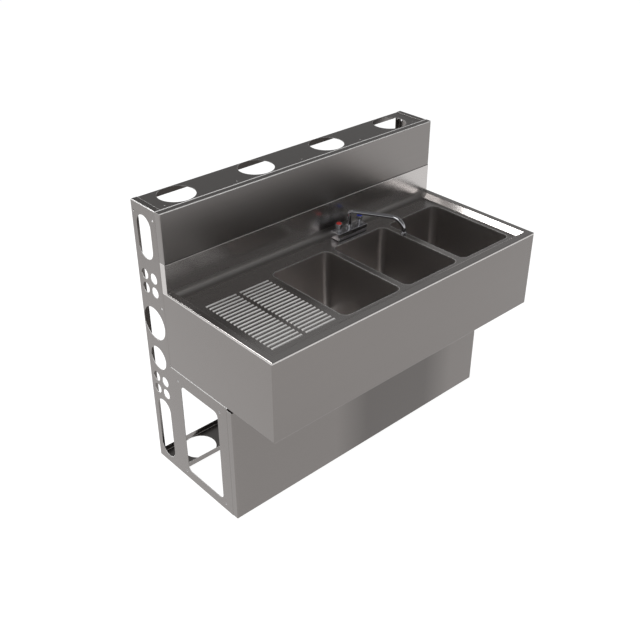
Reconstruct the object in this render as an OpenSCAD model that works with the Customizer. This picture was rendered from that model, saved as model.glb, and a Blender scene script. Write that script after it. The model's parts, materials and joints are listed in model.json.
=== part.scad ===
// Free-standing under-bar sink. A hollow sheet-metal back wall, open behind, carries a
// top with a ribbed drainboard, three deep wells and a two-handle mixer tap, and stands
// together with it on a narrow base. Millimetres, +Z up. The origin is on the floor at
// the middle of the footprint. The wells and the tap face -Y, the drainboard is at -X.

/* [Whole unit] */
// Length of the unit from end to end
unit_l = 1219; // [1200:1:1400]
// Height of the back wall
unit_h = 1032; // [1000:1:1150]
// Height of the back wall above the rim of the sink
bar_rise = 278; // [260:1:320]
// Depth of the back wall, from the splash face to the rear
wall_d = 162; // [160:1:190]
// Depth of the sink top, from the splash face to the apron
sink_d = 516; // [500:1:560]
// Depth of the base, from the splash face to the front panel
base_d = 304; // [290:1:420]

/* [Sheet metal] */
// Thickness of the stainless sheet
sheet = 1.5; // [1:0.1:2]
// Outside radius of a bend
bend_r = 3; // [2.2:0.1:4]
// Width of the flanges turned into the wall and the base
flange_w = 22; // [16:1:28]
// Gap left in the flanges beside a bend that crosses them
relief = 4; // [3.5:0.5:8]

/* [Sink top] */
// Depth of the deck below the rim
recess_d = 19; // [10:1:22]
// Width of the flat on the side rims
side_rim_w = 23; // [16:1:30]
// Width of the flat on the front rim
front_rim_w = 28; // [18:1:30]
// Run of the slope inside the side rims
side_slope = 16; // [8:1:20]
// Run of the slope inside the front rim
front_slope = 22; // [8:1:26]
// Radius of the bends between the rim, the slopes and the deck
form_r = 4; // [2.5:0.5:6]
// Depth of the down-turned lip that the apron is welded to
rim_lip = 6; // [5.5:0.5:12]
// Radius of the cove between the deck and the splash
cove_r = 15; // [8:1:18]
// Height of the sink's own splash above the rim
splash_rise = 104; // [80:1:130]
// Depth of the splash box and of the panel above it
skin_d = 26; // [20:1:28]

/* [Wells] */
// Number of wells
wells = 3; // [1:1:3]
// Length of a well, end to end
well_l = 256; // [220:1:258]
// Depth of a well below the deck
well_d = 254; // [180:1:262]
// Radius of the corners seen from above
well_r = 25; // [15:1:40]
// Radius between the walls and the floor
well_floor_r = 22; // [12:1:40]
// Deck left between two wells
well_gap = 24; // [16:1:26]
// Deck left between the last well and the foot of the rim
well_end = 18; // [14:1:30]
// Deck left behind the wells
well_back = 90; // [86:1:100]
// Deck left between the wells and the foot of the front rim
well_front = 14; // [10:1:60]
// Room between the floor of the wells and the top of the base
well_under = 18; // [12:1:40]

/* [Drainboard] */
// Distance from rib to rib
rib_pitch = 17.7; // [16:0.1:18]
// Width of a rib
rib_w = 9; // [6:0.5:11]
// Height of a rib above the deck
rib_h = 2.5; // [1.5:0.1:3]
// Gap between the two columns of ribs
rib_split = 18; // [10:1:40]
// Deck left of the ribs
rib_left = 25; // [15:1:40]
// Deck right of the ribs
rib_right = 32; // [15:1:45]
// Distance from the splash to the middle of the rearmost rib
rib_back = 119; // [105:1:125]
// Deck left between the foremost rib and the foot of the front rim
rib_front = 28; // [20:1:60]

/* [Wall openings] */
// Width of the long slots with round ends
slot_w = 77; // [50:1:84]
// Height of the upper slot
upper_slot_h = 153; // [100:1:160]
// Distance from the top of the wall down to the upper slot
upper_slot_drop = 35.5; // [32:0.5:60]
// Height of the lower slot
lower_slot_h = 252; // [160:1:254]
// Height of the lower end of the lower slot
lower_slot_low = 32; // [28:1:60]
// Sheet left in front of the large round opening
large_hole_front = 11.5; // [10:0.5:20]
// Sheet left behind the large round opening
large_hole_rear = 3.5; // [3.5:0.5:12]
// Height of the middle of the large round opening above the base
large_hole_rise = 139; // [130:1:150]
// Diameter of the smaller round opening, level with the top of the base
small_hole = 88; // [60:1:90]
// Diameter of the holes in the groups of four
line_hole = 37; // [20:1:40]
// Spacing of the holes in the groups of four
line_pitch = 51; // [46:1:53]
// Height of the middle of the upper group of four above the rim
upper_lines_rise = 1; // [0:0.5:6]
// Distance from the top of the base down to the middle of the lower group of four
lower_lines_drop = 114; // [108:1:120]
// Number of round openings in the top and bottom channels
channel_holes = 4; // [2:1:4]
// Sheet left in front of the round openings in the channels
channel_hole_front = 6; // [5:0.5:20]
// Sheet left behind the round openings in the channels
channel_hole_rear = 4; // [4:0.5:20]
// Distance from the end of the unit to the middle of the first channel opening
channel_hole_x = 128; // [110:1:150]

/* [Base window] */
// Distance from the front of the base to the window in its side
window_front = 76.5; // [60:0.5:120]
// Distance from the splash face forward to the window
window_rear = 24.5; // [24:0.5:60]
// Height of the lower edge of the window
window_low = 42.5; // [40:0.5:80]
// Distance from the top of the base down to the window
window_high = 51.5; // [48:0.5:90]
// Corner radius of the window
window_r = 20; // [8:1:40]
// Distance from the sides of the window to the cover inserts
cover_side = 13; // [10:0.5:16]
// Distance from the ends of the window to the cover inserts
cover_end = 12.5; // [10:0.5:16]

/* [Front panel] */
// Gap under the front panel
panel_low = 5; // [3:1:12]
// Drop of the panel's top edge below the top of the base
panel_drop = 10; // [6:1:16]
// Depth of the panel's box
panel_t = 24; // [18:1:30]

/* [Mixer tap] */
// Distance from the left end of the unit to the spout
tap_x = 746; // [700:1:800]
// Distance from the splash face forward to the spout
tap_y = 53; // [50:1:54]
// Length of the tap body
tap_l = 140; // [134:1:160]
// Depth of the tap body
tap_w = 44; // [40:1:52]
// Height of the tap body with its gasket
tap_h = 30; // [26:1:36]
// Distance between the two handles
tap_centres = 101.6; // [98:0.1:104]
// Height of the spout tube above the tap body
spout_rise = 62; // [58:1:90]
// Reach of the spout from its swivel to its outlet
spout_reach = 200; // [160:1:240]
// Outside diameter of the spout tube
spout_tube = 16; // [13:0.5:18]
// Angle of the spout at rest, turned to the right from straight ahead
spout_rest = 30; // [-60:1:60]
// Diameter of a handle
knob_dia = 27; // [22:1:30]

/* [Waste fittings] */
// Distance from the front of the base to the middle of the wastes
waste_front = 89; // [85:1:150]
// Diameter of the waste flange on the floor of a well
waste_flange = 64; // [58:1:80]
// Diameter of the waste body below the floor
waste_body = 45; // [42:0.5:48]
// Outside diameter of the tailpiece
tail_dia = 38.1; // [32:0.1:39]
// Length of the plain end of the tailpiece
tail_l = 80; // [40:1:150]

/* [Hidden] */
$fn = 64;

// One overrun for every cut
over = 1;
// Flats in the bends of the sink top
arc_steps = 6;
// Running clearance on a radius, for stems and the swivel
run_fit = 0.05;
// Clearance on a radius around a part that passes through a hole
pass_fit = 0.5;

// Colours
steel_colour = [0.66, 0.65, 0.64];
dark_steel_colour = [0.45, 0.44, 0.43];
chrome_colour = [0.82, 0.83, 0.85];
brass_colour = [0.78, 0.63, 0.32];
rubber_colour = [0.12, 0.12, 0.12];
hot_colour = [0.85, 0.12, 0.13];
cold_colour = [0.13, 0.2, 0.75];

// Angles of the points of a circle, for arcs drawn point by point
top_angle = 90;
low_angle = 270;
side_angle = 360;

// Heights, from the top of the wall down
rim_h = unit_h - bar_rise;
splash_h = rim_h + splash_rise;
deck_z = rim_h - recess_d;
well_floor_z = deck_z - well_d;
base_h = well_floor_z - well_under;

// Edges and patterns of the sink top
side_foot = side_rim_w + side_slope;
front_foot = front_rim_w + front_slope;
well_w = sink_d - front_foot - well_front - well_back;
rib_rows = 1 + floor((sink_d - front_foot - rib_front - rib_back) / rib_pitch);
first_well_x = unit_l - side_foot - well_end - wells * well_l - (wells - 1) * well_gap;
rib_l = (first_well_x - side_foot - rib_left - rib_right - rib_split) / 2;
panel_back = base_d - panel_t;
waste_y = base_d - waste_front;

// Openings of the end panels and the channels
upper_slot_z = unit_h - upper_slot_drop - upper_slot_h / 2;
lower_slot_z = lower_slot_low + lower_slot_h / 2;
large_hole = wall_d - skin_d - large_hole_front - large_hole_rear;
large_hole_z = base_h + large_hole_rise;
upper_lines_z = rim_h + upper_lines_rise;
lower_lines_z = base_h - lower_lines_drop;
// Distance from the splash face to the middle of the end openings
pass_y = skin_d + large_hole_front + large_hole / 2;
channel_hole = wall_d - skin_d - channel_hole_front - channel_hole_rear;
channel_hole_y = skin_d + channel_hole_front + channel_hole / 2;
window_w = base_d - window_front - window_rear;
window_h = base_h - window_low - window_high;
window_y = window_rear + window_w / 2;
window_z = window_low + window_h / 2;
cover_dy = window_w + 2 * cover_side;
cover_dz = window_h + 2 * cover_end;

// Small holes
fixing_hole = 5;
join_hole = 7;
// Distance from the rear to the rear joining hole
join_rear = 12;
// Distance from the splash face to the front joining holes
join_front = 43;
// Distance from the top to the upper joining holes
join_drop = 36;
// Distance from the rim down to the lower joining hole
join_low_drop = 72;
// Distance from the splash face to the counter screw holes in the top channel
counter_hole_y = 47;
// Distance from the end of the unit to the first counter screw hole
counter_hole_x = 52;
counter_holes = 5;

// Drainboard stiffener
stiffener_w = 60;
stiffener_h = 25;
stiffener_margin = 5;

// Waste fittings
waste_flange_t = 2.5;
waste_wall = 3;
waste_depth = 42;
waste_bar = 4;
gasket_t = 3;
waste_nut_h = 9;
waste_nut_grip = 9;
tail_wall = 1.3;
tail_bead = 0.5;
tail_bead_h = 8;
tail_nut_h = 14;
tail_nut_wall = 5;
tail_flange_t = 2;
// Seats of the waste fittings, counted down from the floor of a well
waste_low_z = well_floor_z - waste_depth;

// Tap
tap_gasket_t = 1.5;
tap_wall = 4;
tap_edge_r = 4;
tap_deck_z = deck_z + tap_gasket_t;
tap_top_z = deck_z + tap_h;
valve_boss = 27;
shank_dia = 22;
shank_end_dia = 20.6;
shank_end_l = 30;
shank_bore = 12;
shank_grip = 10;
shank_hole = shank_dia + 2 * pass_fit;
washer_dia = 36;
washer_t = 2;
shank_nut_dia = 34;
shank_nut_h = 8;
bonnet_dia = 22;
bonnet_flange = 26;
bonnet_flange_t = 2;
bonnet_h = 9;
bonnet_grip = 8;
stem_dia = 9;
stem_grip = 15;
stem_rise = 8;
knob_gap = 0.6;
knob_h = 20;
knob_foot_dia = 20;
knob_flute = 5;
knob_flutes = 6;
knob_flute_shift = 1.6;
knob_edge = 3;
index_dia = 20;
index_t = 5;
index_seat = 2;
index_r = 16;
nut_dia = 25;
nut_h = 13;
nut_edge = 1.5;
spout_wall = 1.4;
spout_elbow_r = 14;
spout_bend_r = 50;
spout_grip = 18;
seal_h = 3;
seal_low = 6;
aerator_dia = 21;
aerator_h = 14;
aerator_bore = 15;
aerator_grip = 9;
spout_z = tap_top_z + spout_rise;
spout_tip_z = spout_z - spout_bend_r;

// Cover inserts and screws
insert_dia = 7;
insert_flange = 10;
insert_flange_t = 2;
insert_l = 11;
insert_bore = 4.2;
screw_dia = 4;
screw_head = 8.4;
screw_head_t = 2.6;
screw_l = 8;
screws_per_side = 3;
screw_margin = 45;

// Frame of the whole model: from wall coordinates (left end, splash face, floor) to the
// origin under the middle of the footprint
module placed() {
    translate([-unit_l / 2, (sink_d - wall_d) / 2, 0]) children();
}

// The same piece at the other end of the unit
module other_end() {
    translate([unit_l, 0, 0]) mirror([1, 0, 0]) children();
}

// A profile drawn as (Y, Z) and run along X from x
module along_x(x, length) {
    translate([x, 0, 0]) rotate([90, 0, 90]) linear_extrude(length) children();
}

// A profile drawn as (X, Z) and run along Y from y
module along_y(y, length) {
    translate([0, y + length, 0]) rotate([90, 0, 0]) linear_extrude(length) children();
}

// What rounding takes off a square corner at the origin
module corner_waste(r) {
    difference() {
        translate([-over, -over]) square(r + over);
        translate([r, r]) circle(r);
    }
}

// Rectangle from one corner to the other with its own radius at each corner:
// low left, low right, high right, high left
module rect(low, high, radii = [0, 0, 0, 0]) {
    difference() {
        translate(low) square(high - low);
        if (radii[0] > 0) translate(low) corner_waste(radii[0]);
        if (radii[1] > 0) translate([high[0], low[1]]) mirror([1, 0]) corner_waste(radii[1]);
        if (radii[2] > 0) translate(high) rotate(180) corner_waste(radii[2]);
        if (radii[3] > 0) translate([low[0], high[1]]) mirror([0, 1]) corner_waste(radii[3]);
    }
}

// Slot with round ends, upright, centred on the origin
module slot(w, h) {
    translate([0, (h - w) / 2]) circle(d = w);
    translate([0, (w - h) / 2]) circle(d = w);
    square([w, h - w], center = true);
}

// Ring of a given height
module ring(outer, inner, h) {
    difference() {
        cylinder(d = outer, h = h);
        translate([0, 0, -over]) cylinder(d = inner, h = h + 2 * over);
    }
}

// Six-sided nut with a round bore
module hex_nut(across, bore, h) {
    difference() {
        cylinder(d = across, h = h, $fn = 6);
        translate([0, 0, -over]) cylinder(d = bore, h = h + 2 * over);
    }
}

// Section of a bent edge: the plate runs up Y from the bend, the flange runs along X
module bend_section(plate_leg, flange_leg) {
    difference() {
        rect([0, 0], [flange_leg, plate_leg], [bend_r, 0, 0, 0]);
        rect([sheet, sheet], [flange_leg + over, plate_leg + over], [bend_r - sheet, 0, 0, 0]);
    }
}

// End panels of the wall and the base

// Flange along an upright edge at y, from z0 to z1, with the plate running to +Y or -Y
module upright_flange(y, z0, z1, toward_back) {
    translate([0, y, z0])
        mirror([0, toward_back ? 0 : 1, 0])
        linear_extrude(z1 - z0) bend_section(2 * bend_r, flange_w);
}

// Flange along a level edge at z, from y0 to y1, with the plate running up or down
module level_flange(z, y0, y1, plate_up) {
    translate([0, 0, z])
        mirror([0, 0, plate_up ? 0 : 1])
        along_y(y0, y1 - y0) bend_section(2 * bend_r, flange_w);
}

module end_outline() {
    rect([skin_d + bend_r, bend_r], [wall_d - bend_r, unit_h - bend_r]);
    rect([-panel_back + bend_r, bend_r], [skin_d + 2 * bend_r, base_h - bend_r]);
    rect([skin_d, base_h - bend_r], [skin_d + 2 * bend_r, base_h + relief]);
    rect([skin_d, unit_h - flange_w - 2 * relief], [skin_d + 2 * bend_r, unit_h - bend_r]);
}

module four_line_holes(z) {
    for (side = [-1, 1], level = [-1, 1])
        translate([pass_y + side * line_pitch / 2, z + level * line_pitch / 2])
            circle(d = line_hole);
}

module cover_places() {
    for (side = [-1, 1], level = [-1, 1])
        translate([-window_y + side * cover_dy / 2, window_z + level * cover_dz / 2])
            children();
}

module end_openings() {
    translate([pass_y, upper_slot_z]) slot(slot_w, upper_slot_h);
    translate([pass_y, lower_slot_z]) slot(slot_w, lower_slot_h);
    translate([pass_y, large_hole_z]) circle(d = large_hole);
    translate([pass_y, base_h]) circle(d = small_hole);
    four_line_holes(upper_lines_z);
    four_line_holes(lower_lines_z);
    rect([-window_y - window_w / 2, window_z - window_h / 2],
        [-window_y + window_w / 2, window_z + window_h / 2],
        [window_r, window_r, window_r, window_r]);
    cover_places() circle(d = insert_dia);
    translate([wall_d - join_rear, unit_h - join_drop]) circle(d = join_hole);
    translate([join_front, unit_h - join_drop]) circle(d = join_hole);
    translate([join_front, rim_h - join_low_drop]) circle(d = join_hole);
}

module end_panel() {
    difference() {
        along_x(0, sheet) end_outline();
        along_x(-over, sheet + 2 * over) end_openings();
    }
    upright_flange(wall_d, relief, unit_h - relief, false);
    upright_flange(skin_d, base_h + relief, unit_h - flange_w - 2 * relief, true);
    difference() {
        upright_flange(-panel_back, relief, base_h - relief, true);
        panel_screw_holes();
    }
    level_flange(unit_h, skin_d, wall_d - relief, false);
    level_flange(base_h, -panel_back + relief, skin_d, false);
    level_flange(0, -panel_back + relief, wall_d - relief, true);
}

module left_end_panel() {
    color(steel_colour) placed() end_panel();
}

module right_end_panel() {
    color(steel_colour) placed() other_end() end_panel();
}

// Channels that tie the two end panels together at the top and at the bottom

channel_back = wall_d - sheet;
channel_l = unit_l - 2 * bend_r;
channel_hole_step = (unit_l - 2 * channel_hole_x) / (channel_holes - 1);
counter_hole_step = (unit_l - 2 * counter_hole_x) / (counter_holes - 1);

// Channel with its web at z = 0 and its flanges hanging down
module channel_bar() {
    inner_r = bend_r - sheet;
    along_x(bend_r, channel_l) difference() {
        rect([skin_d, -flange_w], [channel_back, 0], [0, 0, bend_r, bend_r]);
        rect([skin_d + sheet, -flange_w - over], [channel_back - sheet, -sheet],
            [0, 0, inner_r, inner_r]);
    }
}

module channel_openings() {
    for (i = [0:channel_holes - 1])
        translate([channel_hole_x + i * channel_hole_step, channel_hole_y, -sheet - over])
            cylinder(d = channel_hole, h = sheet + 2 * over);
    for (i = [0:counter_holes - 1])
        translate([counter_hole_x + i * counter_hole_step, counter_hole_y, -sheet - over])
            cylinder(d = fixing_hole, h = sheet + 2 * over);
}

module top_channel() {
    color(dark_steel_colour) placed() translate([0, 0, unit_h - sheet]) difference() {
        channel_bar();
        channel_openings();
    }
}

module bottom_channel() {
    color(dark_steel_colour) placed() translate([0, 0, sheet]) mirror([0, 0, 1]) difference() {
        channel_bar();
        channel_openings();
    }
}

// Shallow box of sheet with its face at -Y, w along X, h along Z and d deep,
// open behind except for a lip around the opening
module pan(w, h, d, lip) {
    module form(o, back) {
        r = bend_r - o;
        intersection() {
            along_x(o, w - 2 * o) rect([o, o], [back, h - o], [r, 0, 0, r]);
            linear_extrude(h) rect([o, o], [w - o, back], [r, r, 0, 0]);
        }
    }
    difference() {
        form(0, d);
        form(sheet, lip > 0 ? d - sheet : d + over);
        if (lip > 0)
            translate([lip, d - sheet - over, lip])
                cube([w - 2 * lip, sheet + 2 * over, h - 2 * lip]);
    }
}

module upper_splash_panel() {
    color(dark_steel_colour) placed() translate([0, 0, splash_h])
        pan(unit_l, unit_h - splash_h, skin_d, 0);
}

module base_front_panel() {
    color(steel_colour) placed() difference() {
        translate([0, -base_d, panel_low])
            pan(unit_l, base_h - panel_drop - panel_low, panel_t, flange_w);
        panel_screw_holes();
        other_end() panel_screw_holes();
    }
}

// Sink top: splash, deck, rim and drainboard

// Outside of the rim and the splash box, drawn in by o
module top_form(o) {
    r = bend_r - o;
    low = rim_h - rim_lip - (o > 0 ? over : 0);
    back = skin_d + (o > 0 ? over : 0);
    intersection() {
        along_x(0, unit_l) rect([-sink_d + o, low], [back, rim_h - o], [0, 0, 0, r]);
        along_y(-sink_d, sink_d + back) rect([o, low], [unit_l - o, rim_h - o], [0, 0, r, r]);
        translate([0, 0, low]) linear_extrude(rim_h)
            rect([o, -sink_d + o], [unit_l - o, back], [r, r, 0, 0]);
    }
    along_x(o, unit_l - 2 * o) rect([o, low], [back, splash_h - o], [0, 0, 0, r]);
}

// How far a slope of a given run moves sideways when its face moves by one
function slope_shift(run) = sqrt(run * run + recess_d * recess_d) / recess_d;

// Place across the slope at height z, for a slope that starts at edge
function slope_at(edge, run, g, z) = edge - g * slope_shift(run) + run * (rim_h - z) / recess_d;

// Points along an arc about a centre
function arc(centre, r, from, to) = [
    for (i = [0:arc_steps])
        let (a = from + (to - from) * i / arc_steps)
            [centre[0] + r * cos(a), centre[1] + r * sin(a)]
];

// Points down one side of the recess, from above the rim to the deck, grown by g
function flank(edge, run, g) =
    let (
        a = atan(recess_d / run),
        lip_r = form_r - g,
        foot_r = form_r + g,
        lip_x = slope_at(edge, run, g, rim_h - g) - lip_r * tan(a / 2),
        foot_x = slope_at(edge, run, g, deck_z - g) + foot_r * tan(a / 2)
    )
    concat(
        [[lip_x, rim_h + bend_r]],
        arc([lip_x, rim_h - form_r], lip_r, top_angle, top_angle - a),
        arc([foot_x, deck_z + form_r], foot_r, low_angle - a, low_angle)
    );

// The hollow above the deck, grown by g all round
module deck_recess(g) {
    side = flank(side_rim_w, side_slope, g);
    front = flank(front_rim_w - sink_d, front_slope, g);
    cove = arc([-cove_r, deck_z + cove_r], cove_r + g, low_angle, side_angle);
    intersection() {
        along_y(-sink_d, sink_d + g) polygon(concat(
            side,
            [for (i = [len(side) - 1:-1:0]) [unit_l - side[i][0], side[i][1]]]
        ));
        along_x(0, unit_l) polygon(concat(front, cove, [[g, rim_h + bend_r]]));
    }
}

// Where each well starts, along X
function well_x(i) = first_well_x + i * (well_l + well_gap);

module well_plan(o) {
    r = well_r + o;
    rect([-o, -o], [well_l + o, well_w + o], [r, r, r, r]);
}

module at_well(i) {
    translate([well_x(i), -well_back - well_w, 0]) children();
}

module rib() {
    r = (rib_w * rib_w / 4 + rib_h * rib_h) / (2 * rib_h);
    along_x(0, rib_l) intersection() {
        translate([0, rib_h - r]) circle(r);
        translate([-rib_w / 2, -sheet / 2]) square([rib_w, rib_h + sheet]);
    }
}

module ribs() {
    for (column = [0, 1], row = [0:rib_rows - 1])
        translate([side_foot + rib_left + column * (rib_l + rib_split),
            -rib_back - row * rib_pitch, deck_z]) rib();
}

module at_tap(x) {
    translate([tap_x + x, -tap_y, 0]) children();
}

module sink_top() {
    color(dark_steel_colour) placed() {
        difference() {
            union() {
                top_form(0);
                intersection() {
                    deck_recess(sheet);
                    translate([0, -sink_d, deck_z - sheet])
                        cube([unit_l, sink_d + skin_d, recess_d + sheet]);
                }
            }
            deck_recess(0);
            difference() {
                top_form(sheet);
                deck_recess(sheet);
            }
            for (i = [0:wells - 1])
                at_well(i) translate([0, 0, deck_z - sheet - over])
                    linear_extrude(sheet + 2 * over) well_plan(0);
            for (side = [-1, 1])
                at_tap(side * tap_centres / 2) translate([0, 0, deck_z - sheet - over])
                    cylinder(d = shank_hole, h = sheet + 2 * over);
        }
        ribs();
    }
}

// Channel welded under the drainboard from front to back, to keep it from sagging
module drainboard_stiffener() {
    inner_r = bend_r - sheet;
    middle = side_foot + rib_left + rib_l + rib_split / 2;
    front = front_foot + stiffener_margin;
    color(steel_colour) placed() translate([middle, 0, deck_z - sheet])
        along_y(front - sink_d, sink_d - front - cove_r - stiffener_margin) difference() {
            rect([-stiffener_w / 2, -stiffener_h], [stiffener_w / 2, 0], [bend_r, bend_r, 0, 0]);
            rect([sheet - stiffener_w / 2, sheet - stiffener_h],
                [stiffener_w / 2 - sheet, over], [inner_r, inner_r, 0, 0]);
        }
}

// Apron and side skirts, one wrapped sheet with its lower edge turned in

module apron_form(o) {
    r = bend_r - o;
    high = rim_h - rim_lip + (o > 0 ? over : 0);
    back = skin_d + (o > 0 ? over : 0);
    intersection() {
        along_x(0, unit_l) rect([-sink_d + o, base_h + o], [back, high], [r, 0, 0, 0]);
        along_y(-sink_d, sink_d + back) rect([o, base_h + o], [unit_l - o, high], [r, r, 0, 0]);
        translate([0, 0, base_h]) linear_extrude(rim_h)
            rect([o, -sink_d + o], [unit_l - o, back], [r, r, 0, 0]);
    }
}

module apron() {
    color(steel_colour) placed() difference() {
        apron_form(0);
        apron_form(sheet);
        translate([flange_w, -sink_d + flange_w, base_h - over])
            cube([unit_l - 2 * flange_w, sink_d + skin_d, sheet + 2 * over]);
    }
}

// Bowls, welded under the deck

module bowl_form(o, high) {
    low = well_floor_z - o;
    r = well_floor_r + o;
    intersection() {
        translate([0, 0, low]) linear_extrude(high - low) well_plan(o);
        along_x(-o, well_l + 2 * o) rect([-o, low], [well_w + o, high], [r, r, 0, 0]);
        along_y(-o, well_w + 2 * o) rect([-o, low], [well_l + o, high], [r, r, 0, 0]);
    }
}

module bowl(i) {
    high = deck_z - sheet;
    color(dark_steel_colour) placed() at_well(i) difference() {
        bowl_form(sheet, high);
        bowl_form(0, high + over);
        translate([well_l / 2, well_back + well_w - waste_y, well_floor_z - sheet - over])
            cylinder(d = waste_body + 2 * pass_fit, h = sheet + 2 * over);
    }
}

// Waste fittings, one set under each well

module at_waste(i) {
    placed() translate([well_x(i) + well_l / 2, -waste_y, 0]) children();
}

module waste(i) {
    bore = waste_body - 2 * waste_wall;
    color(chrome_colour) at_waste(i) {
        translate([0, 0, well_floor_z]) ring(waste_flange, bore, waste_flange_t);
        translate([0, 0, waste_low_z]) ring(waste_body, bore, waste_depth);
        for (turn = [0, 90])
            rotate(turn)
                translate([-bore / 2 - waste_wall / 2, -waste_bar / 2, well_floor_z - waste_bar])
                cube([bore + waste_wall, waste_bar, waste_bar]);
    }
}

module waste_gasket(i) {
    color(rubber_colour) at_waste(i)
        translate([0, 0, well_floor_z - sheet - gasket_t])
        ring(waste_flange, waste_body, gasket_t);
}

module waste_nut(i) {
    color(brass_colour) at_waste(i)
        translate([0, 0, well_floor_z - sheet - gasket_t - waste_nut_h])
        hex_nut(waste_flange + waste_nut_grip, waste_body, waste_nut_h);
}

// Flanged tube held to the waste body by the tail nut. A bead under the flange centres
// the nut, and the plain end below it takes the trap
module tailpiece(i) {
    bore = tail_dia - 2 * tail_wall;
    color(chrome_colour) at_waste(i) translate([0, 0, waste_low_z - tail_flange_t]) {
        ring(waste_body, bore, tail_flange_t);
        translate([0, 0, -tail_bead_h]) ring(tail_dia + 2 * tail_bead, bore, tail_bead_h);
        translate([0, 0, -tail_bead_h - tail_l]) ring(tail_dia, bore, tail_l);
    }
}

module tail_nut(i) {
    outer = waste_body + 2 * tail_nut_wall;
    color(chrome_colour) at_waste(i) translate([0, 0, waste_low_z - tail_flange_t - sheet]) {
        hex_nut(outer, tail_dia + 2 * tail_bead, sheet);
        translate([0, 0, sheet]) hex_nut(outer, waste_body, tail_nut_h);
    }
}

// Rivet nuts for a cover over the base window, four in each end panel

module cover_inserts() {
    rotate([90, 0, 90]) cover_places() difference() {
        union() {
            cylinder(d = insert_dia, h = insert_l);
            translate([0, 0, sheet]) cylinder(d = insert_flange, h = insert_flange_t);
        }
        translate([0, 0, -over]) cylinder(d = insert_bore, h = insert_l + 2 * over);
    }
}

module left_cover_inserts() {
    color(chrome_colour) placed() cover_inserts();
}

module right_cover_inserts() {
    color(chrome_colour) placed() other_end() cover_inserts();
}

// Screws that hold the front panel's lips to the front flanges of the end panels, put in
// from inside the base

panel_screw_low = panel_low + screw_margin;
panel_screw_step = (base_h - panel_drop - screw_margin - panel_screw_low) / (screws_per_side - 1);

// Places of the screws at the left end, with Z along the screw towards its head
module panel_screw_places() {
    for (i = [0:screws_per_side - 1])
        translate([flange_w / 2, -panel_back + sheet, panel_screw_low + i * panel_screw_step])
            rotate([-90, 0, 0]) children();
}

module panel_screw_holes() {
    panel_screw_places() translate([0, 0, -screw_l]) cylinder(d = screw_dia, h = screw_l + over);
}

module panel_screws() {
    panel_screw_places() {
        cylinder(d = screw_head, h = screw_head_t);
        translate([0, 0, -screw_l]) cylinder(d = screw_dia, h = screw_l);
    }
}

module front_panel_screws() {
    color(chrome_colour) placed() {
        panel_screws();
        other_end() panel_screws();
    }
}

// Mixer tap

module tap_plan(o) {
    r = tap_edge_r - o;
    rect([-tap_l / 2 + o, -tap_w / 2 + o], [tap_l / 2 - o, tap_w / 2 - o], [r, r, r, r]);
}

module at_valve(side) {
    placed() at_tap(side * tap_centres / 2) children();
}

module tap_gasket() {
    color(rubber_colour) placed() at_tap(0) translate([0, 0, deck_z]) difference() {
        linear_extrude(tap_gasket_t) tap_plan(sheet);
        for (side = [-1, 1])
            translate([side * tap_centres / 2, 0, -over])
                cylinder(d = shank_hole, h = tap_gasket_t + 2 * over);
    }
}

module tap_body() {
    height = tap_top_z - tap_deck_z;
    color(chrome_colour) placed() at_tap(0) translate([0, 0, tap_deck_z]) difference() {
        union() {
            difference() {
                linear_extrude(height) tap_plan(0);
                translate([0, 0, -over]) linear_extrude(height - tap_wall + over) tap_plan(sheet * 2);
            }
            for (side = [-1, 0, 1])
                translate([side * tap_centres / 2, 0, 0]) cylinder(d = valve_boss, h = height);
        }
        for (side = [-1, 1]) translate([side * tap_centres / 2, 0, 0]) {
            translate([0, 0, -over]) cylinder(d = shank_dia, h = shank_grip + over);
            translate([0, 0, -over]) cylinder(d = shank_bore, h = height + 2 * over);
            translate([0, 0, height - bonnet_grip])
                cylinder(d = bonnet_dia - 2 * sheet, h = bonnet_grip + over);
        }
        translate([0, 0, height - spout_grip - seal_low])
            cylinder(d = spout_tube + 2 * run_fit, h = spout_grip + seal_low + over);
    }
}

shank_nut_low_z = deck_z - sheet - washer_t - shank_nut_h;

module shank(side) {
    color(brass_colour) at_valve(side) {
        translate([0, 0, shank_nut_low_z])
            ring(shank_dia, shank_bore, tap_deck_z + shank_grip - shank_nut_low_z);
        translate([0, 0, shank_nut_low_z - shank_end_l]) ring(shank_end_dia, shank_bore, shank_end_l);
    }
}

module shank_washer(side) {
    color(rubber_colour) at_valve(side)
        translate([0, 0, deck_z - sheet - washer_t]) ring(washer_dia, shank_dia, washer_t);
}

module shank_nut(side) {
    color(brass_colour) at_valve(side)
        translate([0, 0, shank_nut_low_z]) hex_nut(shank_nut_dia, shank_dia, shank_nut_h);
}

// Bonnet screwed into the body, with the bore that the stem turns in
module bonnet(side) {
    color(chrome_colour) at_valve(side) translate([0, 0, tap_top_z]) difference() {
        union() {
            cylinder(d = bonnet_flange, h = bonnet_flange_t);
            translate([0, 0, bonnet_flange_t]) cylinder(d1 = bonnet_dia, d2 = bonnet_dia - 2 * sheet,
                h = bonnet_h - bonnet_flange_t, $fn = 48);
            translate([0, 0, -bonnet_grip]) cylinder(d = bonnet_dia - 2 * sheet, h = bonnet_grip);
        }
        translate([0, 0, -bonnet_grip - over])
            cylinder(d = stem_dia + 2 * run_fit, h = bonnet_grip + bonnet_h + 2 * over);
    }
}

module stem(side) {
    color(brass_colour) at_valve(side) translate([0, 0, tap_top_z - stem_grip])
        cylinder(d = stem_dia, h = stem_grip + bonnet_h + stem_rise);
}

knob_z = tap_top_z + bonnet_h + knob_gap;

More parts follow.
